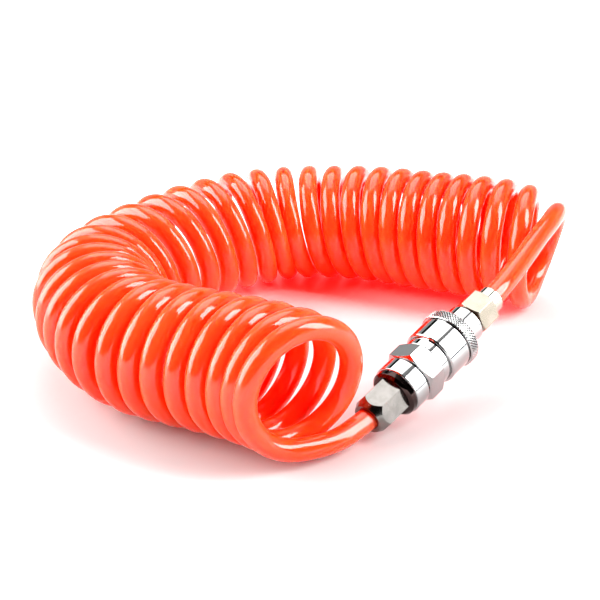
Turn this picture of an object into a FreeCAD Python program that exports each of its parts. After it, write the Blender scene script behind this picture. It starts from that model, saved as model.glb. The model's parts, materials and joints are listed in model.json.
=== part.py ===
import FreeCAD, Part
import math
import os

# A coiled polyurethane air hose whose two ends are closed on each other by a quick coupler.
# The coil lies on the floor in a deep C. A hose tail leaves each end of the coil: one runs
# into the coupler's socket and the other into its plug, and the two stiff tails hold the
# coupler in the mouth of the C, sloping upwards from the socket's nut to the plug.
#
# Millimetres, +Z up. The origin is on the floor, under the middle of the object's box.
# The coupler is built along a local +Z axis that starts at the outer face of the socket's
# nut and points at the plug. In its profiles each point is (radius, distance along).

# ---------------------------------------------------------------- hose
HOSE_DIAMETER = 8.0
HOSE_BORE = 5.0
COIL_DIAMETER = 50.0
COIL_WALL = 2.83            # a plain wall that holds as much material as the turns do
COIL_LIFT = COIL_DIAMETER / 2
ARC_SHARE = 0.45            # part of the shorter run that each arc of a route takes up

# The coil's centre line seen from above, from the plug's end round to the socket's end.
COIL_ROUTE = [
    (96.5, 43.5),
    (68, 56),
    (45, 67),
    (20, 76.5),
    (-9, 77.5),
    (-40, 63),
    (-64, 41),
    (-81.5, 14),
    (-81.5, -9),
    (-72, -29),
    (-53, -46),
    (-29, -60),
    (-1, -83),
]

# ---------------------------------------------------------------- coupler placement
COUPLER_START = FreeCAD.Vector(16.0, -63.0, 8.0)
COUPLER_AZIMUTH = 47.5      # degrees from +X towards +Y
COUPLER_RISE = 17.0         # degrees above the floor

# The free hose between the coil and the coupler. Each route also has two points on the
# coupler's own axis, where the hose enters its nut and where it ends on the barb.
SOCKET_TAIL_ROUTE = [(-4, -80, 5.2), (4.5, -73.6, 5.3)]
PLUG_TAIL_ROUTE = [(70.2, -3.6, 33.0), (79.5, 7.5, 37.3), (89, 24, 41), (94.5, 42, 42.4)]

# ---------------------------------------------------------------- coupler, along its axis
SOCKET_NUT_NOSE_END = 3.6
HOSE_GRIP = 7.9             # how far the hose reaches into each nut
SOCKET_NUT_END = 13.5
SHOULDER_END = 16.5
FLANGE_END = 23.0
BODY_HEX_START = 23.6
GASKET_START = 28.0
GASKET_END = 29.0
BODY_HEX_END = 31.8
SLEEVE_START = 35.5
NECK_END = 37.4
BALL_PLANE = 45.1
KNURL_START = 45.8
BODY_END = 50.2
PLUG_COLLAR_START = 50.5
SLEEVE_END = 50.7
PLUG_COLLAR_END = 58.9
PLUG_NUT_START = 59.1
PLUG_HEX_END = 69.2
PLUG_NUT_END = 74.5

# ---------------------------------------------------------------- coupler, across its axis
NUT_ACROSS_FLATS = 13.0
NUT_NOSE_RADIUS = 5.5
BODY_ACROSS_FLATS = 19.0
FLANGE_RADIUS = 9.5
SHOULDER_RADIUS = 8.9
STEP_RADIUS = 8.4           # the narrow step between the flange and the body's hexagon
NECK_RADIUS = 9.35
BARREL_RADIUS = 7.7         # the body's slim front, inside the sleeve
PLUG_COLLAR_RADIUS = 7.4
PLUG_TAIL_RADIUS = 5.2
THREAD_RADIUS = 5.0
BODY_THREAD_RADIUS = 7.5
SLEEVE_RADIUS = 10.5
SLEEVE_GROOVE_DEPTH = 0.35
KNURL_RADIUS = 11.4
SLEEVE_MOUTH_RADIUS = 9.4
RUNNING_GAP = 0.05          # radial clearance of a piece that slides or turns
HOSE_GAP = 0.1              # radial clearance between a nut and the hose in it
EDGE = 0.3                  # the small chamfer on most turned edges
CHAMFER = 0.5
HEX_CHAMFER_SLOPE = math.tan(math.radians(30))

# ---------------------------------------------------------------- air passage and barbs
PASSAGE_RADIUS = 1.8
BARB_INSET = 1.0            # how far each barb's tip stands inside the nut's outer face
BARB_RADIUS = 2.2
SOCKET_RIDGE_RADIUS = 2.75  # bites into the hose
PLUG_RIDGE_RADIUS = 2.4     # stands clear of the hose, which does not turn with the plug
RIDGE_SHARE = 0.7           # part of each barb step that its ridge's slope takes up
CHAMBER_RADIUS = 4.5
CHAMBER_START = 20.0
CHAMBER_CONE = 2.0

# ---------------------------------------------------------------- plug nose
PLUG_NOSE_START = 34.7
PLUG_NOSE_RADIUS = 5.95
PLUG_NOSE_TAPER = 0.7
PLUG_NOSE_TAPER_LENGTH = 1.2
PLUG_BORE_RADIUS = 6.0
PLUG_GROOVE_RADIUS = 4.85
PLUG_GROOVE_HALF_FLOOR = 1.0
PLUG_GROOVE_HALF_MOUTH = 1.6
PLUG_AIR_RADIUS = 3.2

# ---------------------------------------------------------------- lock
BALL_RADIUS = 1.5
BALL_COUNT = 6
BALL_CIRCLE_RADIUS = 6.4
BALL_TRAVEL = 1.1
SLEEVE_TRAVEL = 3.2
RETAINER_START = 47.95
RETAINER_END = 48.95
RETAINER_GROOVE_RADIUS = 7.2
RETAINER_OUTER_RADIUS = 9.3
RETAINER_SPLIT = 2.0
SPRING_START = NECK_END + RUNNING_GAP
SPRING_END = 42.9
SPRING_MEAN_RADIUS = 8.5
SPRING_WIRE_RADIUS = 0.3
SPRING_TURNS = 2.5
LAND_RADIUS = BARREL_RADIUS + RUNNING_GAP
SLEEVE_BORE = NECK_RADIUS + RUNNING_GAP
CONE_SLOPE = BALL_TRAVEL / SLEEVE_TRAVEL
CONE_END = RETAINER_START - RUNNING_GAP

# ---------------------------------------------------------------- valve and seals
VALVE_STEM_START = 21.0
VALVE_STEM_RADIUS = 1.6
VALVE_HEAD_START = 29.8
VALVE_HEAD_END = 31.4
VALVE_HEAD_RADIUS = 5.4
VALVE_CROWN_RADIUS = 4.2
VALVE_CROWN_BORE = 3.3
VALVE_WINDOWS = 3
VALVE_WINDOW_WIDTH = 2.6
VALVE_WINDOW_HEIGHT = 1.7
VALVE_WINDOW_INSET = 1.0
VALVE_SEAL_RADIUS = 5.2
VALVE_SEAL_THICKNESS = 0.8
VALVE_SPRING_MEAN_RADIUS = 3.4
VALVE_SPRING_WIRE_RADIUS = 0.35
VALVE_SPRING_TURNS = 6
SEAT_CONE_START = 32.6
SEAT_CONE_END = 33.4
SEAT_END = 34.2
SEAT_RADIUS = 4.5
PACKING_START = 34.9
PACKING_END = 36.7
PACKING_RADIUS = 7.3
PACKING_LIP = 0.6

# ---------------------------------------------------------------- where one corner of each hexagon stands
SOCKET_NUT_CORNER = 42.0    # degrees round the coupler's axis
BODY_CORNER = 9.5
PLUG_NUT_CORNER = 44.0


# ---------------------------------------------------------------- building blocks
def polygon_face(profile):
    """The face inside a closed outline of (radius, distance along) points."""
    corners = [FreeCAD.Vector(radius, 0, along) for radius, along in profile]
    return Part.Face(Part.makePolygon(corners + corners[:1]))


def turned(profile):
    """A solid turned on a lathe from an outline of (radius, distance along) points."""
    return polygon_face(profile).revolve(FreeCAD.Vector(), FreeCAD.Vector(0, 0, 1), 360)


def ring(inner_radius, outer_radius, start, end):
    """A plain ring with square edges."""
    return turned([(inner_radius, start), (outer_radius, start), (outer_radius, end), (inner_radius, end)])


def bar(radius, start, end):
    """A plain round bar."""
    return Part.makeCylinder(radius, end - start, FreeCAD.Vector(0, 0, start))


def about_axis(shape, angle):
    """The shape turned round the coupler's axis by this angle in degrees."""
    shape.rotate(FreeCAD.Vector(), FreeCAD.Vector(0, 0, 1), angle)
    return shape


def corner_radius(across_flats):
    """From the middle of a hexagon to its corners."""
    return across_flats / 2 / math.cos(math.radians(30))


def hexagon(across_flats, start, end, first_corner):
    """A six-sided bar. first_corner is the angle of one corner, in degrees."""
    radius = corner_radius(across_flats)
    corners = []
    for number in range(6):
        angle = math.radians(first_corner + 60 * number)
        corners.append(FreeCAD.Vector(radius * math.cos(angle), radius * math.sin(angle), start))
    face = Part.Face(Part.makePolygon(corners + corners[:1]))
    return face.extrude(FreeCAD.Vector(0, 0, end - start))


def hexagon_with_chamfers(across_flats, start, end, first_corner):
    """A six-sided bar with its corners turned off at 30 degrees on both ends."""
    end_radius = across_flats / 2 - CHAMFER
    corner = corner_radius(across_flats)
    depth = (corner - end_radius) * HEX_CHAMFER_SLOPE
    outline = [
        (0, start),
        (end_radius, start),
        (corner, start + depth),
        (corner, end - depth),
        (end_radius, end),
        (0, end),
    ]
    return hexagon(across_flats, start, end, first_corner).common(turned(outline))


def coil_spring(mean_radius, wire_radius, start, end, turns):
    """A compression spring with its wire centred on a helix."""
    height = end - start - 2 * wire_radius
    helix = Part.makeHelix(height / turns, height, mean_radius)
    helix.translate(FreeCAD.Vector(0, 0, start + wire_radius))
    first_point = FreeCAD.Vector(mean_radius, 0, start + wire_radius)
    section = Part.Wire(Part.makeCircle(wire_radius, first_point, FreeCAD.Vector(0, 1, 0)))
    return Part.Wire(helix).makePipeShell([section], True, True)


def rounded_route(points, label):
    """Straight runs joined by tangent arcs, each as large as its two runs allow."""
    edges = []
    start = points[0]
    for before, corner, after in zip(points, points[1:], points[2:]):
        run_in = corner - before
        run_out = after - corner
        turn = run_in.getAngle(run_out)
        setback = ARC_SHARE * min(run_in.Length, run_out.Length)
        radius = setback / math.tan(turn / 2)
        arc_start = corner - FreeCAD.Vector(run_in).normalize() * setback
        arc_end = corner + FreeCAD.Vector(run_out).normalize() * setback
        inwards = ((arc_start + arc_end) * 0.5 - corner).normalize()
        middle = corner + inwards * (radius / math.cos(turn / 2) - radius)
        edges.append(Part.LineSegment(start, arc_start).toShape())
        edges.append(Part.Arc(arc_start, middle, arc_end).toShape())
        start = arc_end
        print(f"{label}: arc of radius {radius:.0f} turning {math.degrees(turn):.0f} degrees")
    edges.append(Part.LineSegment(start, points[-1]).toShape())
    return Part.Wire(edges)


def swept_rod(route, radius, label):
    """A round rod that follows a route. Its volume is compared with section times length."""
    first_edge = route.Edges[0]
    direction = first_edge.tangentAt(first_edge.FirstParameter)
    section = Part.Wire(Part.makeCircle(radius, route.Vertexes[0].Point, direction))
    rod = route.makePipeShell([section], True, False)
    expected = math.pi * radius ** 2 * route.Length
    print(f"{label}: length {route.Length:.1f}, volume {rod.Volume / expected:.4f} of section x length")
    return rod


def coupler_turn():
    """The turn that brings the coupler's local +Z axis into its place in the object."""
    tilt = FreeCAD.Rotation(FreeCAD.Vector(0, 1, 0), 90 - COUPLER_RISE)
    swing = FreeCAD.Rotation(FreeCAD.Vector(0, 0, 1), COUPLER_AZIMUTH)
    return swing.multiply(tilt)


def placed(shape):
    """A coupler piece moved from its local axis to its place in the object."""
    moved = shape.copy()
    moved.Placement = FreeCAD.Placement(COUPLER_START, coupler_turn()).multiply(shape.Placement)
    return moved


def on_coupler_axis(along):
    """The point on the coupler's axis at this distance from the socket nut's face."""
    return COUPLER_START + coupler_turn().multVec(FreeCAD.Vector(0, 0, along))


# ---------------------------------------------------------------- hose pieces
def hose_coil(route, outline):
    """All the touching turns as one bent tube with a thin wall."""
    return outline.cut(swept_rod(route, COIL_DIAMETER / 2 - COIL_WALL, "coil, inside"))


def hose_tail(points, coil_outline, label):
    """A free end of the hose, from the coil's outside to its end in a nut."""
    route = rounded_route(points, label)
    outside = swept_rod(route, HOSE_DIAMETER / 2, label)
    bore = swept_rod(route, HOSE_BORE / 2, f"{label}, bore")
    return outside.cut(bore).cut(coil_outline)


def hose_tail_socket(coil_outline):
    points = [FreeCAD.Vector(*point) for point in SOCKET_TAIL_ROUTE]
    points += [COUPLER_START, on_coupler_axis(HOSE_GRIP)]
    return hose_tail(points, coil_outline, "socket tail")


def hose_tail_plug(coil_outline):
    points = [on_coupler_axis(PLUG_NUT_END - HOSE_GRIP), on_coupler_axis(PLUG_NUT_END)]
    points += [FreeCAD.Vector(*point) for point in PLUG_TAIL_ROUTE]
    return hose_tail(points, coil_outline, "plug tail")


# ---------------------------------------------------------------- socket pieces
def barb(tip, root, ridge_radius):
    """The outline of a hose barb from its tip to its root: two saw-tooth ridges on a spigot."""
    step = (root - tip) / 2
    outline = []
    for number in range(2):
        step_start = tip + number * step
        ridge = step_start + RIDGE_SHARE * step
        outline += [(BARB_RADIUS, step_start), (ridge_radius, ridge), (BARB_RADIUS, ridge)]
    return outline + [(BARB_RADIUS, root)]


def socket_nut():
    """The long six-sided nut that squeezes the hose onto the socket's barb."""
    body = hexagon(NUT_ACROSS_FLATS, 0, SOCKET_NUT_END, SOCKET_NUT_CORNER)
    corner = corner_radius(NUT_ACROSS_FLATS)
    outline = turned([
        (0, 0),
        (NUT_NOSE_RADIUS, 0),
        (corner, SOCKET_NUT_NOSE_END),
        (corner, SOCKET_NUT_END - EDGE),
        (corner - CHAMFER, SOCKET_NUT_END),
        (0, SOCKET_NUT_END),
    ])
    hose_hole = bar(HOSE_DIAMETER / 2 + HOSE_GAP, 0, HOSE_GRIP)
    thread = bar(THREAD_RADIUS, HOSE_GRIP, SOCKET_NUT_END)
    return body.common(outline).cut(hose_hole).cut(thread)


def socket_adapter():
    """The barb, its thread for the nut, a round flange and the spigot that screws into the body."""
    outline = [(PASSAGE_RADIUS, BARB_INSET)]
    outline += barb(BARB_INSET, HOSE_GRIP, SOCKET_RIDGE_RADIUS)
    outline += [
        (THREAD_RADIUS, HOSE_GRIP),
        (THREAD_RADIUS, SOCKET_NUT_END),
        (SHOULDER_RADIUS - 2 * CHAMFER, SOCKET_NUT_END),
        (SHOULDER_RADIUS, SOCKET_NUT_END + 2 * CHAMFER),
        (SHOULDER_RADIUS, SHOULDER_END),
        (FLANGE_RADIUS - EDGE, SHOULDER_END),
        (FLANGE_RADIUS, SHOULDER_END + EDGE),
        (FLANGE_RADIUS, FLANGE_END - EDGE),
        (FLANGE_RADIUS - EDGE, FLANGE_END),
        (BODY_THREAD_RADIUS, FLANGE_END),
        (BODY_THREAD_RADIUS, GASKET_START),
        (CHAMBER_RADIUS, GASKET_START),
        (CHAMBER_RADIUS, CHAMBER_START),
        (PASSAGE_RADIUS, CHAMBER_START - CHAMBER_CONE),
    ]
    return turned(outline)


def adapter_gasket():
    """The flat ring that seals the adapter's spigot against the body."""
    return ring(PLUG_BORE_RADIUS, BODY_THREAD_RADIUS, GASKET_START, GASKET_END)


def body_outside():
    """The neck, the slim barrel and the ring's groove, as a turned bar."""
    return turned([
        (0, FLANGE_END),
        (STEP_RADIUS, FLANGE_END),
        (STEP_RADIUS, BODY_HEX_START),
        (NECK_RADIUS, BODY_HEX_START),
        (NECK_RADIUS, NECK_END - EDGE),
        (NECK_RADIUS - EDGE, NECK_END),
        (BARREL_RADIUS, NECK_END),
        (BARREL_RADIUS, RETAINER_START),
        (RETAINER_GROOVE_RADIUS, RETAINER_START),
        (RETAINER_GROOVE_RADIUS, RETAINER_END),
        (BARREL_RADIUS, RETAINER_END),
        (BARREL_RADIUS, BODY_END - EDGE),
        (BARREL_RADIUS - EDGE, BODY_END),
        (0, BODY_END),
    ])


def body_inside():
    """What is bored out of the body: thread, valve chamber and seat, packing groove, plug bore."""
    return turned([
        (0, FLANGE_END),
        (BODY_THREAD_RADIUS, FLANGE_END),
        (BODY_THREAD_RADIUS, GASKET_END),
        (PLUG_BORE_RADIUS, GASKET_END),
        (PLUG_BORE_RADIUS, SEAT_CONE_START),
        (SEAT_RADIUS, SEAT_CONE_END),
        (SEAT_RADIUS, SEAT_END),
        (PLUG_BORE_RADIUS, SEAT_END),
        (PLUG_BORE_RADIUS, PACKING_START),
        (PACKING_RADIUS, PACKING_START),
        (PACKING_RADIUS, PACKING_END),
        (PLUG_BORE_RADIUS, PACKING_END),
        (PLUG_BORE_RADIUS, BODY_END - CHAMFER),
        (PLUG_BORE_RADIUS + CHAMFER, BODY_END),
        (0, BODY_END),
    ])


def ball_angle(number):
    """The direction of a ball round the coupler's axis, in degrees."""
    return 360 / BALL_COUNT * number


def ball_hole(number):
    """A radial hole through the barrel that one ball moves in."""
    hole = Part.makeCylinder(
        BALL_RADIUS + RUNNING_GAP,
        NECK_RADIUS - PLUG_GROOVE_RADIUS,
        FreeCAD.Vector(PLUG_GROOVE_RADIUS, 0, BALL_PLANE),
        FreeCAD.Vector(1, 0, 0),
    )
    return about_axis(hole, ball_angle(number))


def socket_body():
    """The six-sided body with its neck and the slim barrel that carries the balls."""
    hex_part = hexagon_with_chamfers(BODY_ACROSS_FLATS, BODY_HEX_START, BODY_HEX_END, BODY_CORNER)
    body = hex_part.fuse(body_outside()).removeSplitter().cut(body_inside())
    for number in range(BALL_COUNT):
        body = body.cut(ball_hole(number))
    return body


def lock_ball(number):
    """One steel ball, seated in the plug's groove."""
    ball = Part.makeSphere(BALL_RADIUS, FreeCAD.Vector(BALL_CIRCLE_RADIUS, 0, BALL_PLANE))
    return about_axis(ball, ball_angle(number))


def plug_packing():
    """The lip ring in the body that seals round the plug's nose."""
    return turned([
        (PLUG_BORE_RADIUS, PACKING_START + PACKING_LIP),
        (PLUG_BORE_RADIUS + PACKING_LIP, PACKING_START),
        (PACKING_RADIUS, PACKING_START),
        (PACKING_RADIUS, PACKING_END),
        (PLUG_BORE_RADIUS, PACKING_END),
    ])


def retaining_ring():
    """The split ring that keeps the sleeve on the body."""
    whole = ring(RETAINER_GROOVE_RADIUS, RETAINER_OUTER_RADIUS, RETAINER_START, RETAINER_END)
    split = Part.makeBox(
        RETAINER_OUTER_RADIUS, RETAINER_SPLIT, RETAINER_END - RETAINER_START,
        FreeCAD.Vector(0, -RETAINER_SPLIT / 2, RETAINER_START),
    )
    return whole.cut(split)


# ---------------------------------------------------------------- sleeve pieces
def cone_radius(along):
    """The cam cone's radius: it clears a seated ball by the running gap all the way."""
    slope_angle = math.atan(CONE_SLOPE)
    at_ball = BALL_CIRCLE_RADIUS + (BALL_RADIUS + RUNNING_GAP) / math.cos(slope_angle)
    return at_ball + CONE_SLOPE * (along - BALL_PLANE)


def sleeve():
    """The sliding sleeve, with the cam cone inside that locks or frees the balls."""
    land_end = BALL_PLANE - (cone_radius(BALL_PLANE) - LAND_RADIUS) / CONE_SLOPE
    return turned([
        (SLEEVE_BORE, SLEEVE_START),
        (SLEEVE_RADIUS - CHAMFER, SLEEVE_START),
        (SLEEVE_RADIUS, SLEEVE_START + CHAMFER),
        (SLEEVE_RADIUS, KNURL_START - CHAMFER),
        (SLEEVE_RADIUS - SLEEVE_GROOVE_DEPTH, KNURL_START - CHAMFER),
        (SLEEVE_RADIUS - SLEEVE_GROOVE_DEPTH, KNURL_START),
        (KNURL_RADIUS - CHAMFER, KNURL_START),
        (KNURL_RADIUS, KNURL_START + CHAMFER),
        (KNURL_RADIUS, SLEEVE_END - 2 * CHAMFER),
        (KNURL_RADIUS - 2 * CHAMFER, SLEEVE_END),
        (SLEEVE_MOUTH_RADIUS + CHAMFER, SLEEVE_END),
        (SLEEVE_MOUTH_RADIUS, SLEEVE_END - CHAMFER),
        (SLEEVE_MOUTH_RADIUS, CONE_END),
        (cone_radius(CONE_END), CONE_END),
        (LAND_RADIUS, land_end),
        (LAND_RADIUS, SPRING_END + RUNNING_GAP),
        (SLEEVE_BORE, SPRING_END + RUNNING_GAP),
    ])


def sleeve_spring():
    """The spring that pushes the sleeve towards the plug."""
    return coil_spring(SPRING_MEAN_RADIUS, SPRING_WIRE_RADIUS, SPRING_START, SPRING_END, SPRING_TURNS)


# ---------------------------------------------------------------- valve pieces
def valve_window(number):
    """One opening in the side of the valve's crown that lets the air through."""
    window = Part.makeBox(
        VALVE_HEAD_RADIUS, VALVE_WINDOW_WIDTH, VALVE_WINDOW_HEIGHT,
        FreeCAD.Vector(0, -VALVE_WINDOW_WIDTH / 2, VALVE_HEAD_END + VALVE_WINDOW_INSET),
    )
    return about_axis(window, 360 / VALVE_WINDOWS * number)


def valve_poppet():
    """The valve: a head, a guide stem behind it and a windowed crown that the plug pushes."""
    crown_end = PLUG_NOSE_START - RUNNING_GAP
    poppet = turned([
        (0, VALVE_STEM_START),
        (VALVE_STEM_RADIUS - EDGE, VALVE_STEM_START),
        (VALVE_STEM_RADIUS, VALVE_STEM_START + EDGE),
        (VALVE_STEM_RADIUS, VALVE_HEAD_START),
        (VALVE_HEAD_RADIUS, VALVE_HEAD_START),
        (VALVE_HEAD_RADIUS, VALVE_HEAD_END),
        (VALVE_CROWN_RADIUS, VALVE_HEAD_END),
        (VALVE_CROWN_RADIUS, crown_end),
        (VALVE_CROWN_BORE, crown_end),
        (VALVE_CROWN_BORE, VALVE_HEAD_END),
        (0, VALVE_HEAD_END),
    ])
    for number in range(VALVE_WINDOWS):
        poppet = poppet.cut(valve_window(number))
    return poppet


def valve_seal():
    """The rubber ring on the valve's head that closes on the seat."""
    return ring(VALVE_CROWN_RADIUS, VALVE_SEAL_RADIUS, VALVE_HEAD_END, VALVE_HEAD_END + VALVE_SEAL_THICKNESS)


def valve_spring():
    """The spring between the adapter's chamber and the valve's head."""
    return coil_spring(
        VALVE_SPRING_MEAN_RADIUS, VALVE_SPRING_WIRE_RADIUS,
        CHAMBER_START + RUNNING_GAP, VALVE_HEAD_START - RUNNING_GAP, VALVE_SPRING_TURNS,
    )


# ---------------------------------------------------------------- plug pieces
def plug_body():
    """The plug: nose with its ball groove, collar, nut thread and barb."""
    thread_end = PLUG_NUT_END - HOSE_GRIP - RUNNING_GAP
    barb_tip = PLUG_NUT_END - BARB_INSET
    outline = [
        (PLUG_AIR_RADIUS, PLUG_NOSE_START),
        (PLUG_NOSE_RADIUS - PLUG_NOSE_TAPER, PLUG_NOSE_START),
        (PLUG_NOSE_RADIUS, PLUG_NOSE_START + PLUG_NOSE_TAPER_LENGTH),
        (PLUG_NOSE_RADIUS, BALL_PLANE - PLUG_GROOVE_HALF_MOUTH),
        (PLUG_GROOVE_RADIUS, BALL_PLANE - PLUG_GROOVE_HALF_FLOOR),
        (PLUG_GROOVE_RADIUS, BALL_PLANE + PLUG_GROOVE_HALF_FLOOR),
        (PLUG_NOSE_RADIUS, BALL_PLANE + PLUG_GROOVE_HALF_MOUTH),
        (PLUG_NOSE_RADIUS, PLUG_COLLAR_START),
        (PLUG_COLLAR_RADIUS - CHAMFER, PLUG_COLLAR_START),
        (PLUG_COLLAR_RADIUS, PLUG_COLLAR_START + CHAMFER),
        (PLUG_COLLAR_RADIUS, PLUG_COLLAR_END - EDGE),
        (PLUG_COLLAR_RADIUS - EDGE, PLUG_COLLAR_END),
        (THREAD_RADIUS, PLUG_COLLAR_END),
        (THREAD_RADIUS, thread_end),
    ]
    outline += reversed(barb(barb_tip, thread_end, PLUG_RIDGE_RADIUS))
    outline += [
        (PASSAGE_RADIUS, barb_tip),
        (PASSAGE_RADIUS, PLUG_COLLAR_END),
        (PLUG_AIR_RADIUS, PLUG_COLLAR_END - CHAMBER_CONE),
    ]
    return turned(outline)


def plug_nut():
    """The short six-sided nut with a round collar that squeezes the hose onto the plug."""
    nut = hexagon_with_chamfers(NUT_ACROSS_FLATS, PLUG_NUT_START, PLUG_HEX_END, PLUG_NUT_CORNER)
    collar = turned([
        (0, PLUG_NUT_START),
        (PLUG_TAIL_RADIUS, PLUG_NUT_START),
        (PLUG_TAIL_RADIUS, PLUG_NUT_END - CHAMFER),
        (PLUG_TAIL_RADIUS - CHAMFER, PLUG_NUT_END),
        (0, PLUG_NUT_END),
    ])
    hose_end = PLUG_NUT_END - HOSE_GRIP
    thread = bar(THREAD_RADIUS, PLUG_NUT_START, hose_end)
    hose_hole = bar(HOSE_DIAMETER / 2 + HOSE_GAP, hose_end, PLUG_NUT_END)
    return nut.fuse(collar).removeSplitter().cut(thread).cut(hose_hole)


# ---------------------------------------------------------------- assembly
def coupler_pieces():
    """Every coupler piece on its local axis, by node name."""
    pieces = {
        "socket_nut": socket_nut(),
        "socket_adapter": socket_adapter(),
        "adapter_gasket": adapter_gasket(),
        "socket_body": socket_body(),
        "plug_packing": plug_packing(),
        "retaining_ring": retaining_ring(),
        "sleeve": sleeve(),
        "sleeve_spring": sleeve_spring(),
        "valve_poppet": valve_poppet(),
        "valve_seal": valve_seal(),
        "valve_spring": valve_spring(),
        "plug_body": plug_body(),
        "plug_nut": plug_nut(),
    }
    for number in range(BALL_COUNT):
        pieces[f"lock_ball_{number + 1}"] = lock_ball(number)
    return pieces


def all_pieces():
    """Every piece of the object in its place, by node name."""
    coil_route = rounded_route([FreeCAD.Vector(x, y, COIL_LIFT) for x, y in COIL_ROUTE], "coil")
    coil_outline = swept_rod(coil_route, COIL_DIAMETER / 2, "coil, outside")
    pieces = {
        "hose_coil": hose_coil(coil_route, coil_outline),
        "hose_tail_socket": hose_tail_socket(coil_outline),
        "hose_tail_plug": hose_tail_plug(coil_outline),
    }
    for name, shape in coupler_pieces().items():
        pieces[name] = placed(shape)
    return pieces


def main():
    os.makedirs("parts", exist_ok=True)
    whole = FreeCAD.BoundBox()
    for name, shape in all_pieces().items():
        shape.exportStep(f"parts/{name}.step")
        whole.add(shape.BoundBox)
        print(f"{name}: valid {shape.isValid()}, solids {len(shape.Solids)}, volume {shape.Volume:.1f}")
    print("box", whole)


main()
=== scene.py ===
import json
import math

import bmesh
import bpy
import numpy as np
from mathutils import Matrix, Vector


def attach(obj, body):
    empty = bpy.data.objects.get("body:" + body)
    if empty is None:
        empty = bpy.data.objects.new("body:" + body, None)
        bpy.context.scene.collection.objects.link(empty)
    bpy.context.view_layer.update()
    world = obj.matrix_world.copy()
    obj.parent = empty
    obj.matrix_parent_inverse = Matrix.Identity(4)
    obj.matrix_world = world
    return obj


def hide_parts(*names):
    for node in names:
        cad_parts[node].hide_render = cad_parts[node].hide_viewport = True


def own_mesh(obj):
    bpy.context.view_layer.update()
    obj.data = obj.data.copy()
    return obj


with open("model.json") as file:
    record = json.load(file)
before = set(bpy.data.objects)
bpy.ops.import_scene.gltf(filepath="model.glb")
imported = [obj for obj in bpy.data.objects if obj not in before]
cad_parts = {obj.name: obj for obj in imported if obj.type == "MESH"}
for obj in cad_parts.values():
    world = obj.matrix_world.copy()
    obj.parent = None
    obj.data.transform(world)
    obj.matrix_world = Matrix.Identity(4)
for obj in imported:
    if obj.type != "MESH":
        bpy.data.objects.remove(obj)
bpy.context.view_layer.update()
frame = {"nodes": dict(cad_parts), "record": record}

# A coiled polyurethane air hose with a chromed quick coupler, on a plain white floor.
# Metres, +Z up, in the frame of the CAD model. The object's sizes below are in millimetres and are
# multiplied by MM as they are used. The studio's are in metres, apart from GLOW_SHIFT.

MM = 0.001

# ---------------------------------------------------------------- camera
CAMERA_PLACE = Vector((-7.0, -451.9, 229.7)) * MM
CAMERA_TARGET = Vector((-7.0, 53.0, 0.0)) * MM
LENS = 78.4
SENSOR_WIDTH = 36.0
CAMERA_CLIP = (0.01, 20)                # metres

# ---------------------------------------------------------------- hose
HOSE_DIAMETER = 8.0
HOSE_RADIUS = HOSE_DIAMETER / 2
COIL_TURNS = 34.5
FIRST_TURN = 0.4                        # the plug's tail takes the place of the turns before this
POINTS_PER_TURN = 24
ROUTE_STEPS = 64                        # steps that the coil's axis is read at, per point of its route
HEADING_REACH = 0.05                    # turns each way that the axis's heading is read over
HOSE_CURVE_STEPS = 4                    # steps of the hose's curve between two of its points
HOSE_BEVEL_STEPS = 7                    # fineness of its round section

# The coil's axis from the plug's end round to the socket's end. Between two points lie as many
# turns as between any other two, apart from the first and last pair, which hold half as many.
# The coil opens where its points lie further apart.
COIL_AXIS = [
    (94, 45, 24.6),
    (82.5, 49, 27.8),
    (64, 58, 27.6),
    (46.5, 66.5, 26.4),
    (28.5, 74.5, 26.2),
    (6.8, 81, 25.2),
    (-17, 80, 24.8),
    (-40.5, 65, 25.6),
    (-61.5, 44, 25.6),
    (-80.5, 18, 25.2),
    (-84, -2.5, 25.2),
    (-76.5, -23, 25.2),
    (-64.5, -39.5, 25),
    (-47.5, -49, 25.2),
    (-28, -59, 26.2),
    (-10, -71.5, 27.2),
    (-4, -80.5, 27.8),
]
# (turn, how far the turns there lean sideways and downwards, in degrees)
COIL_LEAN = [
    (0, 1, 4),
    (1, 1, 3),
    (3, 0.5, -1),
    (6, 0, -4.5),
    (8, -0.5, -7),
    (9.2, -1.5, -8.3),
    (10.3, -4, -9),
    (11.4, -8.5, -10),
    (12.5, -13.5, -10.5),
    (13.6, -16, -10.5),
    (15, -14, -10.5),
    (17, -9, -10),
    (19, -5, -9),
    (21, -3, -8.2),
    (23, -3, -7.5),
    (26, -7, -6),
    (29, -12, -3.5),
    (32, -10, -3),
    (34.6, -7.5, -4),
]
# (turn, radius of the hose's centre line there)
COIL_RADIUS = [
    (0, 21.2), (2, 21.9), (5, 21.6), (8, 21.2), (10, 20.7),
    (12, 20.7), (14, 21.2), (30, 21.2), (34.6, 21.9),
]

SOCKET_TAIL = [(11.5, -67.2, 6.8), (5.5, -73, 5.4)]
PLUG_TAIL = [
    (69.9, -3.5, 32.8), (79, 11, 37.2), (87, 25.5, 40.4), (93, 36, 41.9), (97.4, 46.4, 42.4),
    (100.2, 56.7, 38.8), (100.7, 63.3, 31.1), (99.1, 65.5, 22), (96.3, 63.4, 13.8),
]

# ---------------------------------------------------------------- studio
SOFTBOX_DISTANCE = 1.25
SOFTBOX_TARGET = (0, 0, 0.02)
# (direction, width and height in metres, radiance)
SOFTBOXES = {
    "softbox_top": ((0.017, 0.469, 0.883), 1.0, 0.985, 3.2),
    "softbox_right": ((0.83, -0.16, 0.56), 0.5, 1.35, 15.0),
    "softbox_left": ((-0.88, 0.05, 0.42), 1.15, 1.2, 9.5),
}
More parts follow.
